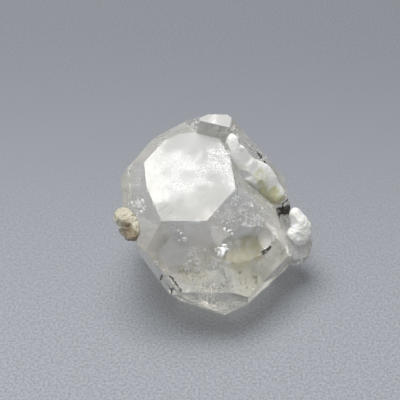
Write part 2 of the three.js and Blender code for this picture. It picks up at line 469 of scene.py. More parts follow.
# Scales of single noises
STREAK_SCALE = 950.0
CLOUD_SCALE = 300.0
RAGGED_SCALE = 5200.0
FLOOR_SCALE = 3200.0

# Seeds of the noises and of the random draws
SEEDS = {
    "swell": 5,
    "fine": 9,
    "grooves": 3,
    "ripples": 12,
    "breaks": 21,
    "knob": 31,
    "knob fine": 32,
    "spots": 77,
    "seam": 43,
    "crust": 51,
    "lump": 61,
    "frost": 71,
    "knob frost": 75,
    "brown": 81,
    "glint tilt": 5,
    "glints": 91,
}

# Numbers that scatter the lattice's values
HASH_STEPS = (73856093, 19349663, 83492791)
SEED_STEP = 265443
HASH_MIX = 1274126177


def growth_normal(bearing, slope):
    """Outward direction of a growth face: the c axis turned by the slope towards the bearing."""
    b, s = math.radians(bearing), math.radians(slope)
    level = math.cos(b) * ASIDE + math.sin(b) * UPHILL
    return math.sin(s) * level + math.cos(s) * C_AXIS


def break_normal(bearing, elevation):
    """Outward direction of a broken face from its compass bearing and its elevation."""
    b, e = math.radians(bearing), math.radians(elevation)
    return np.array([math.cos(e) * math.cos(b), math.cos(e) * math.sin(b), math.sin(e)])


def axes(run, out):
    """Unit directions along, across and out of a body, from its run and roughly its outward side."""
    run = run / np.linalg.norm(run)
    across = np.cross(run, out)
    across /= np.linalg.norm(across)
    return np.stack([run, across, np.cross(across, run)])


CHIP_AXES = axes(CHIP_RUN, CHIP_OUT)


def plane_table(growth, breaks):
    """Names, outward normals and offsets (normal times point) of a set of faces."""
    normals = [growth_normal(f[0], f[1]) for f in growth.values()]
    normals += [break_normal(f[0], f[1]) for f in breaks.values()]
    normals = np.array(normals)
    distances = np.array([f[2] for f in (*growth.values(), *breaks.values())])
    return [*growth, *breaks], normals, normals @ CENTRE + distances


def place(points):
    """Table millimetres to metres in the model's frame."""
    return (np.asarray(points) - MIDDLE) * MM


def sight_lines(pixels):
    """Rays from the eye through pixels, each as long as its depth is one."""
    pixels = np.atleast_2d(np.asarray(pixels, float))
    off = (pixels - PICTURE_WIDTH / 2) / (PIXELS_PER_MM * CAMERA_DISTANCE)
    return SIGHT + off[:, :1] * ASIDE - off[:, 1:] * SCREEN_UP


def through(pixel, y):
    """The point seen at a pixel that lies at a given y."""
    ray = sight_lines(pixel)[0]
    return EYE + ray * (y - EYE[1]) / ray[1]


def seen(pixels):
    """Where rays through pixels first meet the flat faces, and those faces' normals. A ray enters a
    convex body at its last crossing of the planes that face it, and leaves at its first crossing of
    the others. Rays that miss give nan."""
    rays = sight_lines(pixels)
    nearest = np.full(len(rays), np.inf)
    facing = np.zeros((len(rays), 3))
    for _, normals, offsets in (MAIN_PLANES, SECOND_PLANES):
        slope = rays @ normals.T
        t = (offsets - normals @ EYE) / slope
        enter = np.where(slope < 0, t, -np.inf)
        leave = np.where(slope > 0, t, np.inf).min(1)
        face = enter.argmax(1)
        enter = enter.max(1)
        hit = (enter < leave) & (enter < nearest)
        nearest[hit] = enter[hit]
        facing[hit] = normals[face[hit]]
    nearest[np.isinf(nearest)] = np.nan
    return EYE + rays * nearest[:, None], facing


def seen_on_knob(pixels):
    """Where rays through pixels first meet the knob's ball, |(point - middle) / radii| = 1, drawn in
    to its flat faces, and the outward directions there. Rays that miss give nan."""
    rays = sight_lines(pixels)
    start, run = (EYE - KNOB_AT) / KNOB_RADII, rays / KNOB_RADII
    a, b, c = (run * run).sum(1), run @ start, start @ start - 1
    inside = b * b - a * c
    root = np.sqrt(np.where(inside < 0, np.nan, inside))
    local = EYE + rays * ((-b - root) / a)[:, None] - KNOB_AT
    flats = np.array([growth_normal(f[0], f[1]) / f[2] for f in KNOB_FACES.values()])
    past = np.maximum(1, (local @ flats.T).max(1))
    local = local / past[:, None] * 0.985
    outward = local / KNOB_RADII**2
    return KNOB_AT + local, outward / np.linalg.norm(outward, axis=1)[:, None]


MAIN_PLANES = plane_table(MAIN_FACES, BREAKS)
SECOND_PLANES = plane_table(SECOND_FACES, BREAKS)


def lattice_noise(points, seed):
    """Value noise from 0 to 1: a random number at each whole-number point of space, blended
    between the eight nearest by 3t^2 - 2t^3 along each axis."""
    cell = np.floor(points).astype(np.int64)
    t = points - cell
    t = t * t * (3 - 2 * t)
    total = np.zeros(len(points))
    for corner in np.ndindex(2, 2, 2):
        c = cell + corner
        steps = c * np.array(HASH_STEPS)
        h = steps[:, 0] ^ steps[:, 1] ^ steps[:, 2] ^ seed * SEED_STEP
        h = (h ^ (h >> 13)) * HASH_MIX & 0xFFFFFFFF
        h = (h ^ (h >> 16)) & 0xFFFF
        share = np.prod(np.where(np.array(corner) == 1, t, 1 - t), axis=1)
        total += share * h / 65535
    return total


def layered_noise(points, seed, layers=4):
    """Value noise summed over layers, each half as large and half as strong as the last."""
    total, weight = 0, 0
    for k in range(layers):
        total = total + 0.5**k * lattice_noise(points * 2**k + 17.3 * k, seed + k)
        weight += 0.5**k
    return total / weight


def smooth(low, high, value):
    """0 below low, 1 above high, and 3t^2 - 2t^3 between."""
    t = np.clip((value - low) / (high - low), 0, 1)
    return t * t * (3 - 2 * t)


def cube_directions(cells):
    """Directions over the six faces of a cube, each a grid of cells by cells whose lines stand at
    equal angles (the tangent of -45 to 45 degrees), with the shared rims welded. Returns unit
    directions and quads that turn outwards."""
    line = np.tan(np.linspace(-math.pi / 4, math.pi / 4, cells + 1))
    u, v = (g.ravel() for g in np.meshgrid(line, line, indexing="ij"))
    grids = []
    for axis, a, b in ((0, 1, 2), (1, 2, 0), (2, 0, 1)):
        for side in (1.0, -1.0):
            p = np.zeros((len(u), 3))
            p[:, axis] = side
            p[:, a] = u * side
            p[:, b] = v
            grids.append(p)
    points, where = np.unique(np.concatenate(grids).round(9), axis=0, return_inverse=True)
    i, j = (g.ravel() for g in np.meshgrid(np.arange(cells), np.arange(cells), indexing="ij"))
    n = cells + 1
    quad = np.stack([i * n + j, (i + 1) * n + j, (i + 1) * n + j + 1, i * n + j + 1], 1)
    quads = where.ravel()[np.concatenate([quad + k * n * n for k in range(6)])]
    return points / np.linalg.norm(points, axis=1)[:, None], quads


def facet_reach(ways, bodies, core):
    """How far flat faces let a ray run from the core. A face lets it run offset / (normal . way), a
    body's nearest face stops it, and the body that lets it run furthest wins. Returns one over that
    length, and the index of the face that stops it, for each way."""
    best = np.full(len(ways), np.inf)
    face = np.zeros(len(ways), int)
    first = 0
    for _, normals, offsets in bodies:
        lean = ways @ (normals / (offsets - normals @ core)[:, None]).T
        k = lean.argmax(1)
        value = lean[np.arange(len(ways)), k]
        nearer = value < best
        best[nearer] = value[nearer]
        face[nearer] = first + k[nearer]
        first += len(normals)
    return best, face


def nearest_edges(ways, bodies, core):
    """For each way, the two edges between faces that lie nearest. An edge of faces a and b is where
    (a - b) . way is 0. Returns the two edge directions and how far off they are, as angles."""
    tables, owners = [], []
    for g, (_, normals, offsets) in enumerate(bodies):
        tables.append(normals / (offsets - normals @ core)[:, None])
        owners += [g] * len(normals)
    table, owners = np.concatenate(tables), np.array(owners)
    lean = ways @ table.T
    _, face = facet_reach(ways, bodies, core)
    own = table[face]
    gap = np.linalg.norm(own[:, None, :] - table[None], axis=2) + 1e-9
    distance = np.abs(lean[np.arange(len(ways)), face][:, None] - lean) / gap
    distance[gap < 1e-6] = np.inf
    # another body counts only by the face that stops the ray in it
    for g in range(len(bodies)):
        inside = np.where(owners == g, lean, -np.inf)
        stopper = inside.argmax(1)
        other = owners[face] != g
        hidden = (owners == g)[None] & other[:, None]
        hidden[np.arange(len(ways)), stopper] = False
        distance[hidden] = np.inf
    distance[np.arange(len(ways)), face] = np.inf
    order = np.argsort(distance, axis=1)[:, :2]
    rows = np.arange(len(ways))
    edges = own[:, None, :] - table[order]
    return edges, distance[rows[:, None], order]


def snapped(ways, bodies, core, cell):
    """Slides ways that lie within half a cell of an edge onto it, and those near two edges onto the
    corner, so that edges stay sharp: way - edge (edge . way) / |edge|^2."""
    edges, off = nearest_edges(ways, bodies, core)
    first = edges[:, 0]
    slide = (first * ways).sum(1) / (first * first).sum(1)
    one = ways - first * slide[:, None]
    corner = np.cross(first, edges[:, 1])
    size = (corner * corner).sum(1) + 1e-12
    both = corner * ((corner * ways).sum(1) / size)[:, None]
    near_corner = (off[:, 1] < cell * 0.5) & (np.linalg.norm(both - ways, axis=1) < cell * 0.75)
    near_edge = off[:, 0] < cell * 0.5
    moved = np.where(near_edge[:, None], one, ways)
    moved = np.where((near_edge & near_corner)[:, None], both, moved)
    return moved / np.linalg.norm(moved, axis=1)[:, None], near_edge


def split_quads(quads, on_edge):
    """Two triangles from each quad, whose shared side joins the corners that lie on an edge."""
    other = (on_edge[quads[:, 1]] & on_edge[quads[:, 3]])[:, None]
    quads = np.where(other, np.roll(quads, -1, axis=1), quads)
    return np.concatenate([quads[:, [0, 1, 2]], quads[:, [0, 2, 3]]])


def spots_mask(points, spots):
    """The largest of soft spots with uneven rims: each fades from its strength at its middle to 0
    at its radius, which noise shortens and lengthens."""
    mask = np.zeros(len(points))
    uneven = 0.9 * (layered_noise(points / 1.4, SEEDS["spots"], 3) - 0.5)
    for centre, radius, strength in spots:
        away = np.linalg.norm(points - centre, axis=1) / radius + uneven
        mask = np.maximum(mask, strength * (1 - smooth(0.25, 1.05, away)))
    return mask


def plane_depth(points, name):
    """How far points lie below a face's plane, in mm."""
    for names, normals, offsets in (MAIN_PLANES, SECOND_PLANES):
        if name in names:
            k = names.index(name)
            return offsets[k] - points @ normals[k]
    raise ValueError(name)


def face_spots(table):
    """Spots given by pixels, as points on the faces seen there with their radii and strengths."""
    middles, _ = seen([row[0] for row in table])
    return [(middle, radius, strength) for middle, (_, radius, strength) in zip(middles, table)]


def chip_depth(points):
    """Below 1 inside the chip's flattened ball, and 1 on it."""
    local = (points - CHIP_CENTRE) @ CHIP_AXES.T / CHIP_RADII
    return np.linalg.norm(local, axis=1)


def plates(centres, normals, along, sizes, seed):
    """Thin plates, each a ring of eight points at uneven radii r, closed by a point above its middle
    and one below: centre + size (r cos a along + w r sin a across), with w from 0.3 to 0.9. What
    passes the solids' box is moved onto it."""
    rng = np.random.default_rng(seed)
    n = len(centres)
    side = np.cross(normals, along)
    side /= np.linalg.norm(side, axis=1)[:, None]
    along = np.cross(side, normals)
    a = np.linspace(0, 2 * math.pi, PLATE_CORNERS, endpoint=False)
    radius = sizes[:, None] * rng.uniform(0.3, 1.1, (n, PLATE_CORNERS))
    long = (radius * np.cos(a))[..., None] * along[:, None]
    wide = (radius * np.sin(a) * rng.uniform(0.3, 0.9, (n, 1)))[..., None] * side[:, None]
    rim = centres[:, None] + long + wide
    lift = (normals * sizes[:, None] * PLATE_THICKNESS)[:, None]
    points = np.concatenate([rim, centres[:, None] + lift, centres[:, None] - lift], 1)
    low, high = (np.array(corner) / MM + MIDDLE for corner in CAD_BOX)
    points = np.clip(points, low, high)
    k = np.arange(PLATE_CORNERS)
    after = (k + 1) % PLATE_CORNERS
    upper = np.stack([k, after, k * 0 + PLATE_CORNERS], 1)
    lower = np.stack([after, k, k * 0 + PLATE_CORNERS + 1], 1)
    one = np.concatenate([upper, lower])
    faces = (np.arange(n)[:, None, None] * (PLATE_CORNERS + 2) + one).reshape(-1, 3)
    return points.reshape(-1, 3), faces


def scattered_plates(fields, seed, find=seen, lean=PLATE_LEAN):
    """Plates strewn along the stretch between two pixels, thinned by noise into clots and streaks,
    each on the face seen there or sunk below it, and turned from that face towards the cleavage
    plane by the lean."""
    rng = np.random.default_rng(seed)
    centres, normals, along, sizes = [], [], [], []
    for start, end, spread, depth, count, size in fields:
        start, end = np.array(start, float), np.array(end, float)
        run = end - start
        across = np.array([-run[1], run[0]]) / np.linalg.norm(run)
        count = count * PLATE_TRIES
        share, away = rng.uniform(-0.05, 1.05, (count, 1)), rng.normal(0, 1, (count, 1))
        pixels = start + run * share + across * spread * away
        points, facing = find(pixels)
        clots = layered_noise(np.column_stack([pixels / 6, np.zeros(count)]), seed + len(centres), 3)
        keep = np.isfinite(points[:, 0]) & (clots > np.quantile(clots, PLATE_DROPPED))
        points, facing = points[keep], facing[keep]
        tilt = facing + lean * C_AXIS + rng.normal(0, 0.3 if depth else 0.15, points.shape)
        tilt /= np.linalg.norm(tilt, axis=1)[:, None]
        sink = depth * rng.uniform(0.4, 1.6, (len(points), 1)) if depth else 0.0
        size = size * np.exp(rng.normal(0, 0.45, len(points)))
        centres.append(points - facing * sink)
        normals.append(tilt)
        along.append(run[0] * ASIDE - run[1] * SCREEN_UP + rng.normal(0, 8, points.shape))
        sizes.append(size)
    centres = np.concatenate(centres)
    keep = chip_depth(centres) > 0.98
    parts = [np.concatenate(a)[keep] for a in (normals, along, sizes)]
    return plates(centres[keep], *parts, seed)


def relief(points, normals, names, face, edge_gap):
    """How far the surface lies inside its flat face, in mm. Growth faces have low swells, faces
    upright on the c axis have grooves along it, and broken faces have curved ripples round a point
    off the face. It fades to nothing at the edges, which stay straight."""
    broken = np.array([n.startswith("break") for n in names])[face]
    base = np.array([n == "base" for n in names])[face]
    top = np.array([n in ("top", "step top") for n in names])[face]
    upright = np.array(["girdle" in n for n in names])[face]
    swell = layered_noise(points / SWELL_SIZE, SEEDS["swell"])
    fine = layered_noise(points / FINE_SIZE, SEEDS["fine"])
    depth = SWELL_DEPTH * swell + FINE_DEPTH * fine
    depth[top] = TOP_SWELL_DEPTH * swell[top] + TOP_FINE_DEPTH * fine[top]
    across = np.cross(normals, C_AXIS)
    along = (points * across).sum(1)
    bend = 5 * layered_noise(points * 0.4, SEEDS["grooves"])
    grooves = 0.5 + 0.5 * np.sin(GROOVE_TURN * along + bend)
    depth[upright] += GROOVE_DEPTH * grooves[upright]
    away = np.linalg.norm(points - RIPPLE_HUB, axis=1)
    bend = 4 * layered_noise(points / 3, SEEDS["ripples"])
    ripples = 0.5 + 0.5 * np.sin(RIPPLE_TURN * away + bend)
    rough = BREAK_DEPTH * layered_noise(points / BREAK_SIZE, SEEDS["breaks"], 5) + RIPPLE_DEPTH * ripples
    depth[broken] = rough[broken]
    depth[base] = BASE_DEPTH
    return depth * smooth(0, EDGE_FADE, edge_gap)


def crystal_surface(cells):
    """The two grown individuals as one surface: rays from a core inside both run to their faces,
    and relief sinks the points below the faces."""
    ways, quads = cube_directions(cells)
    bodies = (MAIN_PLANES, SECOND_PLANES)
    ways, on_edge = snapped(ways, bodies, CORE, math.pi / 2 / cells)
    value, face = facet_reach(ways, bodies, CORE)
    points = CORE + ways / value[:, None]
    _, off = nearest_edges(ways, bodies, CORE)
    names = MAIN_PLANES[0] + SECOND_PLANES[0]
    normals = np.concatenate([MAIN_PLANES[1], SECOND_PLANES[1]])[face]
    gap = off[:, 0] / value
    points = points - normals * relief(points, normals, names, face, gap)[:, None]
    return points, split_quads(quads, on_edge)


def chip_surface():
    """The tool that leaves the curved chip: a flattened ball set into the front right face, with
    ripples round a hub at one end: radius times 1 + ripple sin(turn times distance from the hub)."""
    ways, quads = cube_directions(CHIP_CELLS)
    local = ways * CHIP_RADII
    away = np.linalg.norm(local - CHIP_RIPPLE_HUB, axis=1)
    ripple = 1 + CHIP_RIPPLE * np.sin(CHIP_RIPPLE_TURN * away)
    return CHIP_CENTRE + local * ripple[:, None] @ CHIP_AXES, quads


def knob_surface():
    """A ball stretched to three radii and cut by flat growth faces: a ray runs to the ball,
    1 / |way / radii|, or to a face, distance / (normal . way), whichever is nearer, less dents."""
    ways, quads = cube_directions(KNOB_CELLS)
    normals = np.array([growth_normal(f[0], f[1]) for f in KNOB_FACES.values()])
    distances = np.array([f[2] for f in KNOB_FACES.values()])
    ball = np.linalg.norm(ways / KNOB_RADII, axis=1)
    flats = (ways @ normals.T / distances).max(1)
    reach = 1 / np.maximum(ball, flats)
    points = KNOB_AT + ways * reach[:, None]
    dents = KNOB_DENTS * layered_noise(points / 1.1, SEEDS["knob"])
    fine = KNOB_FINE_DENTS * layered_noise(points / 0.3, SEEDS["knob fine"])
    return KNOB_AT + ways * (reach - dents - fine)[:, None], quads


def chiselled(points, outward, cuts, bite, seed):
    """Breaks a lumpy surface into flats. Each cut is a plane a little below a point of the surface,
    roughly square to its outward direction, and what stands past it nearby moves back onto it."""
    rng = np.random.default_rng(seed)
    picks = rng.choice(len(points), cuts)
    places, ways = points[picks], outward[picks] + rng.normal(0, 0.15, (cuts, 3))
    for at, normal in zip(places, ways / np.linalg.norm(ways, axis=1)[:, None]):
        past = (points - at) @ normal + bite * rng.uniform(0.3, 1.3)
        near = 1 - smooth(0.8, 1.3, np.linalg.norm(points - at, axis=1))
        points = points - normal * (np.clip(past, 0, None) * near)[:, None]
    return points


def path_frame(stations, turns, facing):
    """Rings along a path that passes smoothly through the stations, closer together near its ends.
    Returns each ring's share of the way, its centre, its half width and half thickness, and its
    directions along, sideways and out. The last 0.9 of a station at each end shrinks as a ball
    does, by sqrt(1 - (1 - share)^2)."""
    path = np.array([through(pixel, y) for pixel, y, _, _ in stations])
    sizes = np.array([row[2:] for row in stations], float)
    last = len(path) - 1
    share = 0.5 - 0.5 * np.cos(np.linspace(0, math.pi, turns))
    reached = share * last
    low = np.clip(np.floor(reached).astype(int), 0, last - 1)
    f = (reached - low)[:, None]
    centre = curve_through(path, low, f)
    along = np.gradient(centre, axis=0)
    along[0], along[-1] = path[1] - path[0], path[-1] - path[-2]
    along /= np.linalg.norm(along, axis=1)[:, None]
    side = np.cross(along, np.array(facing, float))
    side /= np.linalg.norm(side, axis=1)[:, None]
    cap = np.minimum(1, np.minimum(reached, last - reached) / 0.9)
    cap = np.sqrt(1 - (1 - cap) ** 2)
    cap[0] = cap[-1] = 0
    return share, centre, curve_through(sizes, low, f) * cap[:, None], along, side, np.cross(side, along)


def crumbled(points, middles, grow, seed):
    """Points moved out from their ring's middle by grow less fine noise, in mm, and by less within
    0.3 mm of it."""
    away = points - middles
    reach = np.linalg.norm(away, axis=1, keepdims=True) + 1e-9
    fine = CRUMB_DEPTH * layered_noise(points / 0.22, seed, 3)
    return points + away / reach * (grow - fine[:, None]) * np.minimum(1, reach / 0.3)


def ring_quads(turns, around):
    """Quads between neighbouring rings."""
    i, j = (g.ravel() for g in np.meshgrid(np.arange(turns - 1), np.arange(around), indexing="ij"))
    k = (j + 1) % around
    return np.stack([i * around + j, i * around + k, (i + 1) * around + k, (i + 1) * around + j], 1)


def loft(stations, facing, turns, around, seed, bumps, cuts, square, grow):
    """A lumpy body along a path. Each ring is a rounded box whose size swells and shrinks with
    noise: centre + (width cos a, thickness sin a), each raised to the power square, times
    (1 + bumps (noise - 1/2)). Then flats are cut and the surface crumbles."""
    share, centre, size, along, side, out = path_frame(stations, turns, facing)
    a = np.linspace(0, 2 * math.pi, around, endpoint=False)
    boxed = [np.sign(w) * np.abs(w) ** square for w in (np.cos(a), np.sin(a))]
    arm = (boxed[0] * size[:, :1])[..., None] * side[:, None]
    arm = arm + (boxed[1] * size[:, 1:])[..., None] * out[:, None]
    plain = (centre[:, None] + arm).reshape(-1, 3)
    swell = 0.7 * layered_noise(plain / 1.3, seed) + 0.3 * layered_noise(plain / 0.35, seed + 7)
    points = centre[:, None] + arm * (1 + bumps * (swell - 0.5)).reshape(turns, around, 1)
    points = points.reshape(-1, 3)
    outward = np.cos(a)[None, :, None] * side[:, None] + np.sin(a)[None, :, None] * out[:, None]
    endwise = along * ((2 * share - 1) ** 9)[:, None]
    outward = outward.reshape(-1, 3) + np.repeat(endwise, around, axis=0) * 2
    outward /= np.linalg.norm(outward, axis=1)[:, None]
    points = chiselled(points, outward, cuts, CUT_DEPTH, seed)
    points = crumbled(points, np.repeat(centre, around, axis=0), grow, seed + 3)
    return points, ring_quads(turns, around)


def curve_through(values, low, f):
    """A Catmull-Rom curve: between two stations it bends with the slope of their neighbours."""
    last = len(values) - 1
    p0, p1 = values[np.clip(low - 1, 0, last)], values[low]
    p2, p3 = values[low + 1], values[np.clip(low + 2, 0, last)]
    bend = (2 * p0 - 5 * p1 + 4 * p2 - p3) * f**2 + (3 * p1 - p0 - 3 * p2 + p3) * f**3
    return 0.5 * (2 * p1 + (p2 - p0) * f + bend)


def seam_body(grow=0.0):
    """The seam: smooth bulges with wide flats."""
    look = {"seed": SEEDS["seam"], "bumps": 0.14, "cuts": 16, "square": 0.62}
    return loft(SEAM_STATIONS, SEAM_OUT, turns=220, around=130, grow=grow, **look)


def crust_body(grow=0.0):
    """The crust: thin and uneven."""
    look = {"seed": SEEDS["crust"], "bumps": 0.5, "cuts": 10, "square": 0.85}
    return loft(CRUST_STATIONS, CRUST_OUT, turns=150, around=110, grow=grow, **look)


def lump_body(grow=0.0):
    """The lump: the roughest, with many flats."""
    look = {"seed": SEEDS["lump"], "bumps": 1.0, "cuts": 26, "square": 1.0}
    return loft(LUMP_STATIONS, LUMP_OUT, turns=150, around=120, grow=grow, **look)


def make_object(name, points, faces, weld=1e-7):
    """A mesh object at the origin from points in table millimetres and faces of any size."""
    mesh = bpy.data.meshes.new(name)
    mesh.from_pydata(place(points), [], faces.tolist() if hasattr(faces, "tolist") else faces)
    obj = bpy.data.objects.new(name, mesh)
    bpy.context.scene.collection.objects.link(obj)
    edit = bmesh.new()
    edit.from_mesh(mesh)
    bmesh.ops.remove_doubles(edit, verts=edit.verts, dist=weld)
    bmesh.ops.dissolve_degenerate(edit, edges=edit.edges, dist=weld)
    bmesh.ops.recalc_face_normals(edit, faces=edit.faces)
    edit.to_mesh(mesh)
    edit.free()
    return obj


def combine(target, other, operation):
    """Joins a closed mesh to another, or cuts it out, and keeps the result as plain mesh."""
    before = len(target.data.polygons)
    for solver in ("MANIFOLD", "EXACT"):
        change = target.modifiers.new("combine", "BOOLEAN")
        change.operation = operation
        change.solver = solver
        change.object = other
        depsgraph = bpy.context.evaluated_depsgraph_get()
        result = bpy.data.meshes.new_from_object(target.evaluated_get(depsgraph))
        target.modifiers.clear()
        if len(result.polygons) > before // 2 and len(result.polygons) != before:
            break
    else:
        raise RuntimeError(f"{operation} with {other.name} did not change {target.name}")
    target.data = result
    bpy.data.objects.remove(other)


def crystal_masks(points):
    """Shares from 0 to 1 at the crystal's points, by mask name: the tables' spots, with frosting on
    the knob and near the foot, and faint flaws everywhere but on the top, the step and the knob."""
    masks = {name: spots_mask(points, face_spots(table)) for name, table in SPOTS.items()}
    knob_gap = np.linalg.norm((points - KNOB_AT) / KNOB_RADII, axis=1)
    knob = 1 - smooth(0.9, 1.15, knob_gap)
    foot = smooth(*FOOT_HEIGHTS, points[:, 2])
    masks["frost"] = np.maximum(masks["frost"], np.maximum(KNOB_FROSTING * knob, FOOT_FROSTING * foot))
    masks["warm"] = np.maximum(masks["warm"], KNOB_WARMTH * knob)
    bare = smooth(0.95, 1.2, knob_gap)
    for face, clear in (("top", 0.8), ("step top", 0.8), ("step front", 0.5)):
        bare = bare * smooth(0.1, clear, plane_depth(points, face))
    masks["flawed"] = bare * (LEAST_FLAWED + (1 - LEAST_FLAWED) * masks["flawed"])
    return masks


def cream_share(points):
    """1 at the lump's upper end and along both sides of a brown band that runs down its length."""
    off = points - through(*LUMP_STATIONS[2][:2])
    aside = off @ (0.85 * ASIDE + 0.52 * SCREEN_UP)
    down = off @ (0.52 * ASIDE - 0.85 * SCREEN_UP)
    sides = np.maximum(smooth(0.1, 0.6, aside), 0.7 * smooth(-0.4, -1.1, aside))
    return np.maximum(sides, smooth(-0.7, -1.5, down))


def vertex_places(mesh):
    """The mesh's points as an array in table millimetres."""
    flat = np.empty(len(mesh.vertices) * 3, np.float32)
    mesh.vertices.foreach_get("co", flat)
    return flat.reshape(-1, 3) / MM + MIDDLE


def set_mask(mesh, name, values):
    """A number from 0 to 1 at each point, for the materials to read."""
    layer = mesh.attributes.new(name, "FLOAT", "POINT")
    layer.data.foreach_set("value", np.ascontiguousarray(values, np.float32))


def finish_piece(obj, material, node, crease):
    """Smooth within faces and sharp at edges, dressed, hung under the root body, and the solid it replaces
    hidden.
    """
    obj.data.polygons.foreach_set("use_smooth", np.ones(len(obj.data.polygons), bool))
    obj.data.set_sharp_from_angle(angle=math.radians(crease))
    obj.data.materials.clear()
    obj.data.materials.append(material)
    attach(obj, "root")
    if node:
        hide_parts(node)


def new_material(name):
    """A material and its Principled shader."""
    material = bpy.data.materials.new(name)
    material.use_nodes = True
    return material, material.node_tree.nodes["Principled BSDF"]


def add_node(tree, kind, inputs=(), **settings):
    """A node with its settings and with its inputs set or linked by name or number."""
    node = tree.nodes.new(kind)
    for key, value in settings.items():
        setattr(node, key, value)
    for key, value in dict(inputs).items():
        if isinstance(value, bpy.types.NodeSocket):
            tree.links.new(value, node.inputs[key])
        else:
            node.inputs[key].default_value = value
    return node


def ramp(tree, value, low, high):
    """A smooth step from 0 at low to 1 at high."""
    fields = {"Value": value, "From Min": low, "From Max": high}
    return add_node(tree, "ShaderNodeMapRange", fields, interpolation_type="SMOOTHSTEP").outputs[0]


def spread(tree, value, least, most):
    """least where the value is 0, most where it is 1, and evenly between."""
    fields = {"Value": value, "To Min": least, "To Max": most}
    return add_node(tree, "ShaderNodeMapRange", fields).outputs[0]


def math_node(tree, operation, a, b=0.0):
    """The result of a Math node."""
    return add_node(tree, "ShaderNodeMath", {0: a, 1: b}, operation=operation).outputs[0]


def blend_colour(tree, share, first, second):
    """first where share is 0, second where it is 1."""
    node = add_node(tree, "ShaderNodeMix", data_type="RGBA")
    for socket, value in ((node.inputs[0], share), (node.inputs[6], first), (node.inputs[7], second)):
        if isinstance(value, bpy.types.NodeSocket):
            tree.links.new(value, socket)
        else:
            socket.default_value = (*value, 1.0) if hasattr(value, "__len__") else value
    return node.outputs[2]


def object_noise(tree, scale, detail, **fields):
    """Noise on Object coordinates, or on a vector given as one of the fields."""
    if "Vector" not in fields:
        fields["Vector"] = add_node(tree, "ShaderNodeTexCoord").outputs["Object"]
    fields.update(Scale=scale, Detail=detail)
    return add_node(tree, "ShaderNodeTexNoise", fields).outputs["Fac"]


def new_group(name, inputs, outputs):
    """A node group with its sockets, given as kinds by name. Returns its tree and its inputs."""
    tree = bpy.data.node_groups.new(name, "ShaderNodeTree")
    for side, sockets in (("INPUT", inputs), ("OUTPUT", outputs)):
        for label, kind in sockets.items():
            tree.interface.new_socket(label, in_out=side, socket_type=f"NodeSocket{kind}")
    return tree, add_node(tree, "NodeGroupInput").outputs


def grain_group():
    """Shared by all minerals: coarse and fine grain and a normal, from Object coordinates."""
    if "Mineral grain" in bpy.data.node_groups:
        return bpy.data.node_groups["Mineral grain"]
    inputs = {"Coarse size": "Float", "Fine size": "Float", "Depth": "Float"}
    outputs = {"Coarse": "Float", "Fine": "Float", "Normal": "Vector"}
    tree, entry = new_group("Mineral grain", inputs, outputs)
    coarse = object_noise(tree, entry["Coarse size"], 4.0, Roughness=0.6)
    fine = object_noise(tree, entry["Fine size"], 6.0, Roughness=0.65)
    fields = {"Height": math_node(tree, "ADD", coarse, fine), "Strength": 1.0, "Distance": entry["Depth"]}
    normal = add_node(tree, "ShaderNodeBump", fields).outputs[0]
    add_node(tree, "NodeGroupOutput", {"Coarse": coarse, "Fine": fine, "Normal": normal})
    return tree


def grain(tree, coarse, fine, depth):
    """The grain group's outputs, for a coarse and a fine scale and a depth in metres."""
    node = add_node(tree, "ShaderNodeGroup", node_tree=grain_group())
    for name, value in (("Coarse size", coarse), ("Fine size", fine), ("Depth", depth)):
        node.inputs[name].default_value = value
    return node.outputs


def mark_group():
    """A mark round the line between two points on a face: 1 within the radius, with a ragged rim.
    It reaches four times as far square to the face, because the surface dips there."""
    if "Mark" in bpy.data.node_groups:
        return bpy.data.node_groups["Mark"]
    inputs = {"Start": "Vector", "End": "Vector", "Facing": "Vector", "Radius": "Float", "Ragged": "Float"}
    tree, entry = new_group("Mark", inputs, {"Mask": "Float"})
    where = add_node(tree, "ShaderNodeTexCoord").outputs["Object"]

    def vector(operation, a, b):
        return add_node(tree, "ShaderNodeVectorMath", {0: a, 1: b}, operation=operation)

    off = vector("SUBTRACT", where, entry["Start"]).outputs[0]
    run = vector("SUBTRACT", entry["End"], entry["Start"]).outputs[0]
    along = vector("DOT_PRODUCT", off, run).outputs["Value"]
    length = vector("DOT_PRODUCT", run, run).outputs["Value"]
    share = add_node(tree, "ShaderNodeMath", {0: along, 1: length}, operation="DIVIDE", use_clamp=True)
    reach = add_node(tree, "ShaderNodeVectorMath", {0: run}, operation="SCALE")
    tree.links.new(share.outputs[0], reach.inputs["Scale"])
    away = vector("SUBTRACT", off, reach.outputs[0]).outputs[0]
    depth = vector("DOT_PRODUCT", away, entry["Facing"]).outputs["Value"]
    sunk = add_node(tree, "ShaderNodeVectorMath", {0: entry["Facing"]}, operation="SCALE")
    tree.links.new(math_node(tree, "MULTIPLY", depth, 0.75), sunk.inputs["Scale"])
    away = vector("SUBTRACT", away, sunk.outputs[0]).outputs[0]
    distance = add_node(tree, "ShaderNodeVectorMath", {0: away}, operation="LENGTH").outputs["Value"]
    swing = math_node(tree, "SUBTRACT", object_noise(tree, RAGGED_SCALE, 3.0), 0.5)
    swing = math_node(tree, "MULTIPLY", swing, entry["Ragged"])
    distance = math_node(tree, "ADD", distance, math_node(tree, "MULTIPLY", swing, 2.0))
    inner = math_node(tree, "MULTIPLY", entry["Radius"], 0.6)
    fields = {"Value": distance, "From Min": inner, "From Max": entry["Radius"]}
    fields.update({"To Min": 1.0, "To Max": 0.0})
    mask = add_node(tree, "ShaderNodeMapRange", fields, interpolation_type="SMOOTHSTEP").outputs[0]
    add_node(tree, "NodeGroupOutput", {"Mask": mask})
    return tree


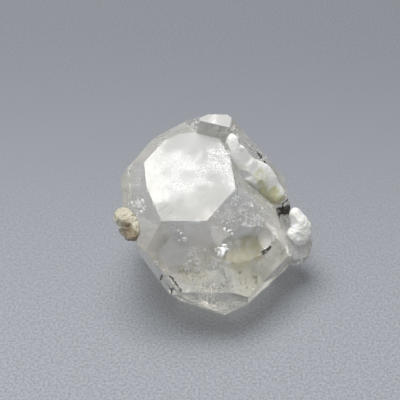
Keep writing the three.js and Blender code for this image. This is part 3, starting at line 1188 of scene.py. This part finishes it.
def marks_mask(tree, marks):
    """The largest of the marks whose ends are given as points in table millimetres."""
    total = None
    for start, end, facing, radius, ragged in marks:
        node = add_node(tree, "ShaderNodeGroup", node_tree=mark_group())
        node.inputs["Start"].default_value = place(start)
        node.inputs["End"].default_value = place(end)
        node.inputs["Facing"].default_value = facing
        node.inputs["Radius"].default_value = radius * MM
        node.inputs["Ragged"].default_value = ragged * MM
        mask = node.outputs["Mask"]
        total = mask if total is None else math_node(tree, "MAXIMUM", total, mask)
    return total


def surface_marks(table):
    """Marks given by pixels, laid on the faces seen there."""
    starts, facing = seen([row[0] for row in table])
    ends, _ = seen([row[1] for row in table])
    return [(a, b, n, row[2], row[3]) for a, b, n, row in zip(starts, ends, facing, table)]


def read_mask(tree, name):
    """The number that set_mask gave each point."""
    return add_node(tree, "ShaderNodeAttribute", attribute_name=name).outputs["Fac"]


def flaw_streaks(tree):
    """Streaks drawn out along the c axis: noise that changes six times more slowly that way."""
    where = add_node(tree, "ShaderNodeTexCoord").outputs["Object"]
    fields = {"Vector": where, "Rotation": (-LEAN, 0.35, 0.0), "Scale": (1.0, 1.0, 0.16)}
    turn = add_node(tree, "ShaderNodeMapping", fields).outputs[0]
    streaks = object_noise(tree, STREAK_SCALE, 5.0, Vector=turn, Roughness=0.7, Distortion=1.2)
    return ramp(tree, streaks, 0.5, 0.64)


def topaz_colour(tree, g, frost, black, settings):
    """The clear crystal with flaws, warm haze, painted shade, frosting, stain (with more painted shade low
    on the right) and marks, in that order.
    """
    colour = blend_colour(tree, ramp(tree, g["Coarse"], 0.35, 0.7), tuple(settings.tint), CLEAREST)
    flawed = math_node(tree, "MULTIPLY", flaw_streaks(tree), read_mask(tree, "flawed"))
    colour = blend_colour(tree, flawed, colour, tuple(settings.flaw))
    mottled = math_node(tree, "MULTIPLY", read_mask(tree, "warm"), ramp(tree, g["Coarse"], 0.25, 0.55))
    colour = blend_colour(tree, mottled, colour, tuple(settings.warm))
    # Painted shade: greyed where the shadow below shows through the crystal
    colour = blend_colour(tree, read_mask(tree, "painted_shade"), colour, tuple(settings.painted_shade_colour))
    specks = math_node(tree, "MULTIPLY", frost, ramp(tree, g["Fine"], 0.5, 0.6))
    colour = blend_colour(tree, math_node(tree, "MULTIPLY", specks, 0.3), colour, FROST_SPECK)
    # Brown stain, and painted shade in the same colour low on the right
    stain = math_node(tree, "MULTIPLY", read_mask(tree, "stain"), ramp(tree, g["Coarse"], 0.22, 0.5))
    colour = blend_colour(tree, stain, colour, tuple(settings.stain))
    scratch = math_node(tree, "MULTIPLY", marks_mask(tree, surface_marks(SCRATCHES)), 0.6)
    colour = blend_colour(tree, scratch, colour, HAIRLINE)
    return blend_colour(tree, black, colour, BLACK)


def topaz_roughness(tree, patchy, black):
    """Frosted where the patches are, softly dull in broad clouds, and matt on the black marks."""
    clouds = ramp(tree, object_noise(tree, CLOUD_SCALE, 3.0), 0.4, 0.7)
    worn = math_node(tree, "ADD", patchy, math_node(tree, "MULTIPLY", clouds, CLOUD_DULLNESS))
    worn = math_node(tree, "ADD", worn, read_mask(tree, "dull"))
    rough = spread(tree, worn, *TOPAZ_ROUGHNESS)
    return math_node(tree, "MAXIMUM", rough, math_node(tree, "MULTIPLY", black, BLACK_ROUGHNESS))


def lighten_shadow(tree, shader):
    """Shadow rays pass as through a grey veil, and light inside is absorbed."""
    leave = tree.nodes["Material Output"]
    absorb = add_node(tree, "ShaderNodeVolumeAbsorption", {"Color": ABSORBED, "Density": ABSORPTION})
    tree.links.new(absorb.outputs[0], leave.inputs["Volume"])
    veil = add_node(tree, "ShaderNodeBsdfTransparent", {"Color": SHADOW_VEIL})
    shadow = add_node(tree, "ShaderNodeLightPath").outputs["Is Shadow Ray"]
    mix = add_node(tree, "ShaderNodeMixShader", {0: shadow})
    tree.links.new(shader.outputs[0], mix.inputs[1])
    tree.links.new(veil.outputs[0], mix.inputs[2])
    tree.links.new(mix.outputs[0], leave.inputs["Surface"])


def topaz_material(settings):
    """Clear crystal: plain transmission and IOR, frosted, stained and painted with shade where the masks
    say.
    """
    material, shader = new_material("topaz")
    tree = material.node_tree
    g = grain(tree, *TOPAZ_GRAIN)
    frost = read_mask(tree, "frost")
    patchy = math_node(tree, "MULTIPLY", frost, ramp(tree, g["Fine"], 0.38, 0.62))
    black = marks_mask(tree, surface_marks(BLACK_MARKS))
    tree.links.new(topaz_colour(tree, g, frost, black, settings), shader.inputs["Base Color"])
    tree.links.new(topaz_roughness(tree, patchy, black), shader.inputs["Roughness"])
    height = math_node(tree, "MULTIPLY", g["Fine"], patchy)
    bump = add_node(tree, "ShaderNodeBump", {"Height": height, "Strength": 1.0, "Distance": FROST_DEPTH})
    tree.links.new(g["Normal"], bump.inputs["Normal"])
    tree.links.new(bump.outputs[0], shader.inputs["Normal"])
    shader.inputs["IOR"].default_value = settings.ior
    shader.inputs["Transmission Weight"].default_value = settings.clarity
    lighten_shadow(tree, shader)
    return material


def dress_mineral(tree, shader, colour, g, least_rough, most_rough):
    """Links a mineral's colour, a roughness that follows its fine grain, and its grain's normal."""
    tree.links.new(colour, shader.inputs["Base Color"])
    tree.links.new(spread(tree, g["Fine"], least_rough, most_rough), shader.inputs["Roughness"])
    tree.links.new(g["Normal"], shader.inputs["Normal"])


def feldspar_material(name, settings, clean):
    """White to olive mineral with a sugary grain; the stain mask turns it yellow, then olive."""
    material, shader = new_material(name)
    tree = material.node_tree
    g = grain(tree, *FELDSPAR_GRAIN)
    white = blend_colour(tree, ramp(tree, g["Coarse"], 0.3, 0.7), clean, GREY_FELDSPAR)
    stain = math_node(tree, "MULTIPLY", read_mask(tree, "stain"), ramp(tree, g["Coarse"], 0.2, 0.55))
    yellow = blend_colour(tree, ramp(tree, stain, 0.05, 0.6), white, tuple(settings.stain))
    olive = blend_colour(tree, ramp(tree, stain, 0.55, 0.95), yellow, tuple(settings.olive))
    specks = ramp(tree, g["Fine"], 0.68, 0.72)
    colour = blend_colour(tree, specks, olive, FELDSPAR_SPECK)
    dress_mineral(tree, shader, colour, g, *FELDSPAR_ROUGHNESS)
    shader.inputs["Subsurface Weight"].default_value = 0.4
    shader.inputs["Subsurface Scale"].default_value = 0.0008
    shader.inputs["Subsurface Radius"].default_value = (1.0, 0.9, 0.7)
    return material


def matrix_material(settings):
    """Weathered matrix: cream where it is raised and worn, brown in its hollows."""
    material, shader = new_material("matrix")
    tree = material.node_tree
    g = grain(tree, *MATRIX_GRAIN)
    cream = read_mask(tree, "cream")
    share = math_node(tree, "MULTIPLY", cream, 0.75)
    share = math_node(tree, "ADD", share, ramp(tree, g["Coarse"], 0.35, 0.65))
    worn = ramp(tree, share, 0.4, 1.2)
    colour = blend_colour(tree, worn, tuple(settings.brown), tuple(settings.cream))
    dark = ramp(tree, g["Fine"], 0.56, 0.68)
    colour = blend_colour(tree, dark, colour, tuple(c * 0.45 for c in settings.brown))
    dress_mineral(tree, shader, colour, g, *MATRIX_ROUGHNESS)
    return material


def plate_material(name, colour, least_rough):
    """Plates for healed cracks, brown haze, glints and painted highlights: pale or brown, with a little
    variation.
    """
    material, shader = new_material(name)
    tree = material.node_tree
    g = grain(tree, *PLATE_GRAIN)
    dull = tuple(c * 0.75 for c in colour)
    shade = blend_colour(tree, ramp(tree, g["Coarse"], 0.35, 0.65), colour, dull)
    dress_mineral(tree, shader, shade, g, least_rough, least_rough + 0.3)
    return material


def floor_material(settings):
    """Matt floor with painted light falloff: paler near the front and darker to the back, with fine grain.
    """
    material, shader = new_material("floor")
    tree = material.node_tree
    where = add_node(tree, "ShaderNodeTexCoord").outputs["Object"]
    apart = add_node(tree, "ShaderNodeSeparateXYZ", {0: where}).outputs
    # Painted light falloff: lighter near the front, darker and a little bluer to the back
    dark = tuple(c * f for c, f in zip(settings.floor, (0.66, 0.66, 0.68)))
    light = tuple(c * 1.29 for c in settings.floor)
    shade = blend_colour(tree, ramp(tree, apart["Y"], FLOOR_NEAR, FLOOR_FAR), light, dark)
    speck = ramp(tree, object_noise(tree, FLOOR_SCALE, 4.0), 0.3, 0.75)
    shade = blend_colour(tree, speck, shade, tuple(c * 0.84 for c in settings.floor))
    tree.links.new(shade, shader.inputs["Base Color"])
    shader.inputs["Roughness"].default_value = 0.7
    return material


def lay_floor(scene, settings):
    """A level square under the stone."""
    mesh = bpy.data.meshes.new("floor")
    corners = [(x * FLOOR_REACH, y * FLOOR_REACH, 0) for x, y in ((-1, -1), (1, -1), (1, 1), (-1, 1))]
    mesh.from_pydata(corners, [], [(0, 1, 2, 3)])
    floor = bpy.data.objects.new("floor", mesh)
    scene.collection.objects.link(floor)
    mesh.materials.append(floor_material(settings))


def light_scene(scene, settings):
    """A softbox above and behind to the left, and weak light from all round."""
    lamp = bpy.data.lights.new("softbox", "AREA")
    lamp.shape = "SQUARE"
    lamp.size = settings.lamp_size
    lamp.energy = settings.lamp_power
    lamp.color = LAMP_WHITE
    holder = bpy.data.objects.new("softbox", lamp)
    holder.location = Vector(place(LOOK_AT)) + LAMP_AWAY
    holder.rotation_euler = LAMP_AWAY.to_track_quat("Z", "Y").to_euler()
    scene.collection.objects.link(holder)
    world = bpy.data.worlds.new("studio")
    world.use_nodes = True
    sky = world.node_tree.nodes["Background"]
    sky.inputs["Color"].default_value = SKY_WHITE
    sky.inputs["Strength"].default_value = settings.fill
    scene.world = world


def place_camera(scene):
    """The photograph's camera, level from side to side and looking down at the stone."""
    view = bpy.data.cameras.new("camera")
    view.sensor_width = SENSOR
    view.lens = SENSOR * CAMERA_DISTANCE * PIXELS_PER_MM / PICTURE_WIDTH
    view.clip_start = 0.01
    camera = bpy.data.objects.new("camera", view)
    camera.location = place(EYE)
    camera.rotation_euler = (math.pi / 2 - CAMERA_RISE, 0, 0)
    scene.collection.objects.link(camera)
    scene.camera = camera


class TopazSettings(bpy.types.PropertyGroup):
    """Sizes and colours of the crystal and its minerals."""
    cells: IntProperty(name="Cells", description="Grid cells along a cube edge", default=112, min=20)
    ior: FloatProperty(name="IOR", description="Index of refraction of topaz", default=1.62)
    clarity: FloatProperty(
        name="Clarity", description="Share of light that passes through", default=0.77,
        min=0.5, max=1.0, subtype="FACTOR",
    )
    tint: FloatVectorProperty(
        name="Tint", description="Colour of the clear crystal", default=(0.93, 0.93, 0.92), subtype="COLOR"
    )
    warm: FloatVectorProperty(
        name="Warm", description="Pink and cream patches", default=(0.97, 0.9, 0.84), subtype="COLOR"
    )
    flaw: FloatVectorProperty(
        name="Flaws", description="Streaks inside the crystal", default=(0.7, 0.69, 0.66), subtype="COLOR"
    )
    # Colour of the painted shade where the shadow below shows through the crystal
    painted_shade_colour: FloatVectorProperty(
        name="Painted shade", description="Grey haze in the crystal", default=(0.42, 0.43, 0.44), subtype="COLOR"
    )
    # Also the colour of the painted shade spots low on the right
    stain: FloatVectorProperty(
        name="Stain", description="Brown stain on the crystal", default=(0.38, 0.35, 0.2), subtype="COLOR"
    )


class InclusionSettings(bpy.types.PropertyGroup):
    """Colours of what the crystal holds."""
    # White of the healed cracks and frosting, and of the plates that paint the knob's rim and the top
    # face's edge highlights
    white: FloatVectorProperty(
        name="White", description="Healed cracks and frosting", default=(0.9, 0.9, 0.88), subtype="COLOR"
    )
    brown: FloatVectorProperty(
        name="Brown", description="Brown haze", default=(0.36, 0.32, 0.25), subtype="COLOR"
    )


class FeldsparSettings(bpy.types.PropertyGroup):
    """Colours of the feldspar."""
    white: FloatVectorProperty(
        name="White", description="Clean feldspar", default=(0.98, 0.97, 0.93), subtype="COLOR"
    )
    stain: FloatVectorProperty(
        name="Stain", description="Yellow-green stain", default=(0.72, 0.71, 0.45), subtype="COLOR"
    )
    olive: FloatVectorProperty(
        name="Olive", description="Dark olive stain", default=(0.68, 0.63, 0.43), subtype="COLOR"
    )


class MatrixSettings(bpy.types.PropertyGroup):
    """Colours of the lump of matrix."""
    brown: FloatVectorProperty(
        name="Brown", description="Hollows of the lump", default=(0.36, 0.29, 0.2), subtype="COLOR"
    )
    cream: FloatVectorProperty(
        name="Cream", description="Worn rises of the lump", default=(0.59, 0.565, 0.45), subtype="COLOR"
    )


class StageSettings(bpy.types.PropertyGroup):
    """The floor and the light."""
    floor: FloatVectorProperty(
        name="Floor", description="Colour of the floor", default=(0.275, 0.29, 0.318), subtype="COLOR"
    )
    lamp_size: FloatProperty(
        name="Softbox", description="Side of the softbox", default=0.23, unit="LENGTH"
    )
    lamp_power: FloatProperty(name="Power", description="Softbox power in watts", default=1.42)
    fill: FloatProperty(name="Fill", description="Strength of the light all round", default=0.33)


class TOPAZ_OT_crystal(bpy.types.Operator):
    """Build the two grown individuals, the knob and the chip"""
    bl_idname = "topaz.crystal"
    bl_label = "Crystal"

    def execute(self, context):
        settings = context.scene.topaz
        body = make_object("topaz_body", *crystal_surface(settings.cells))
        combine(body, make_object("knob", *knob_surface()), "UNION")
        combine(body, make_object("chip", *chip_surface()), "DIFFERENCE")
        for bed in (seam_body, crust_body, lump_body):
            combine(body, make_object("bed", *bed(BED_GAP)), "DIFFERENCE")
        for name, values in crystal_masks(vertex_places(body.data)).items():
            set_mask(body.data, name, values)
        finish_piece(body, topaz_material(settings), "topaz_crystal", CRYSTAL_CREASE)
        return {"FINISHED"}


class TOPAZ_OT_inclusions(bpy.types.Operator):
    """Build the healed cracks, the frosting, the cleavage glints, and the white plates that paint the
    knob's bright rim and the top face's edge highlights
    """
    bl_idname = "topaz.inclusions"
    bl_label = "Inclusions"

    def execute(self, context):
        settings = context.scene.topaz_inclusions
        on_faces, their_faces = scattered_plates(FROST_AND_EDGE_HIGHLIGHT_FIELDS, SEEDS["frost"])
        seed = SEEDS["knob frost"]
        on_knob, knob_faces = scattered_plates(KNOB_FROST_AND_PAINTED_RIM, seed, seen_on_knob, KNOB_PLATE_LEAN)
        faces = np.concatenate([their_faces, knob_faces + len(on_faces)])
        crack_and_highlight_plates = make_object("healed_cracks_and_painted_highlights", np.concatenate([on_faces, on_knob]), faces)
        pale = plate_material("healed_crack_and_painted_highlight", tuple(settings.white), 0.3)
        finish_piece(crack_and_highlight_plates, pale, None, PLATE_CREASE)
        haze = make_object("brown_haze", *scattered_plates(BROWN_FIELDS, SEEDS["brown"]))
        brown = plate_material("brown_haze", tuple(settings.brown), 0.5)
        finish_piece(haze, brown, None, PLATE_CREASE)
        where, _ = seen([row[0] for row in GLINTS])
        rng = np.random.default_rng(SEEDS["glint tilt"])
        flat = C_AXIS + rng.normal(0, GLINT_TILT, where.shape)
        flat /= np.linalg.norm(flat, axis=1)[:, None]
        along = rng.normal(0, 1, where.shape)
        sizes = np.array([row[1] for row in GLINTS])
        glints = make_object("cleavage_glints", *plates(where, flat, along, sizes, SEEDS["glints"]))
        finish_piece(glints, plate_material("cleavage", CLEAVAGE, 0.12), None, PLATE_CREASE)
        return {"FINISHED"}


class TOPAZ_OT_feldspar(bpy.types.Operator):
    """Build the feldspar seam and the white crust"""
    bl_idname = "topaz.feldspar"
    bl_label = "Feldspar"

    def execute(self, context):
        settings = context.scene.topaz_feldspar
        seam = make_object("feldspar_ridge", *seam_body())
        stains = [(through(pixel, y), radius, share) for pixel, y, radius, share in SEAM_STAINS]
        set_mask(seam.data, "stain", spots_mask(vertex_places(seam.data), stains))
        sugar = feldspar_material("feldspar", settings, tuple(settings.white))
        finish_piece(seam, sugar, "feldspar_seam", MINERAL_CREASE)
        crust = make_object("feldspar_cap", *crust_body())
        set_mask(crust.data, "stain", np.zeros(len(crust.data.vertices)))
        chalk = feldspar_material("white_crust", settings, CHALK)
        finish_piece(crust, chalk, "feldspar_crust", MINERAL_CREASE)
        return {"FINISHED"}


class TOPAZ_OT_lump(bpy.types.Operator):
    """Build the brown and cream lump of matrix"""
    bl_idname = "topaz.lump"
    bl_label = "Lump"

    def execute(self, context):
        settings = context.scene.topaz_matrix
        lump = make_object("matrix_bump", *lump_body())
        set_mask(lump.data, "cream", cream_share(vertex_places(lump.data)))
        finish_piece(lump, matrix_material(settings), "matrix_lump", MINERAL_CREASE)
        return {"FINISHED"}


class TOPAZ_OT_stage(bpy.types.Operator):
    """Build the floor, the lights and the camera"""
    bl_idname = "topaz.stage"
    bl_label = "Stage"

    def execute(self, context):
        scene = context.scene
        settings = scene.topaz_stage
        lay_floor(scene, settings)
        light_scene(scene, settings)
        place_camera(scene)
        scene.view_settings.view_transform = "Standard"
        return {"FINISHED"}


class TOPAZ_PT_panel(bpy.types.Panel):
    """Lists the steps and their settings"""
    bl_label = "Topaz crystal"
    bl_idname = "TOPAZ_PT_panel"
    bl_space_type = "VIEW_3D"
    bl_region_type = "UI"
    bl_category = "Topaz"

    def draw(self, context):
        for name in STEPS:
            self.layout.operator(f"topaz.{name}")
        for group in SETTINGS:
            box = self.layout.box()
            values = getattr(context.scene, group)
            for key in values.bl_rna.properties.keys():
                if key not in ("rna_type", "name"):
                    box.prop(values, key)


STEPS = ("stage", "crystal", "inclusions", "feldspar", "lump")
SETTINGS = {
    "topaz": TopazSettings,
    "topaz_inclusions": InclusionSettings,
    "topaz_feldspar": FeldsparSettings,
    "topaz_matrix": MatrixSettings,
    "topaz_stage": StageSettings,
}
OPERATORS = (
    TOPAZ_OT_stage,
    TOPAZ_OT_crystal,
    TOPAZ_OT_inclusions,
    TOPAZ_OT_feldspar,
    TOPAZ_OT_lump,
)


def register():
    for group in SETTINGS.values():
        bpy.utils.register_class(group)
    for operator in (*OPERATORS, TOPAZ_PT_panel):
        bpy.utils.register_class(operator)
    for name, group in SETTINGS.items():
        setattr(bpy.types.Scene, name, PointerProperty(type=group))


def unregister():
    for name in SETTINGS:
        delattr(bpy.types.Scene, name)
    for operator in (*OPERATORS, TOPAZ_PT_panel):
        bpy.utils.unregister_class(operator)
    for group in SETTINGS.values():
        bpy.utils.unregister_class(group)


def main():
    register()
    for name in STEPS:
        getattr(bpy.ops.topaz, name)()


if __name__ == "__main__":
    main()
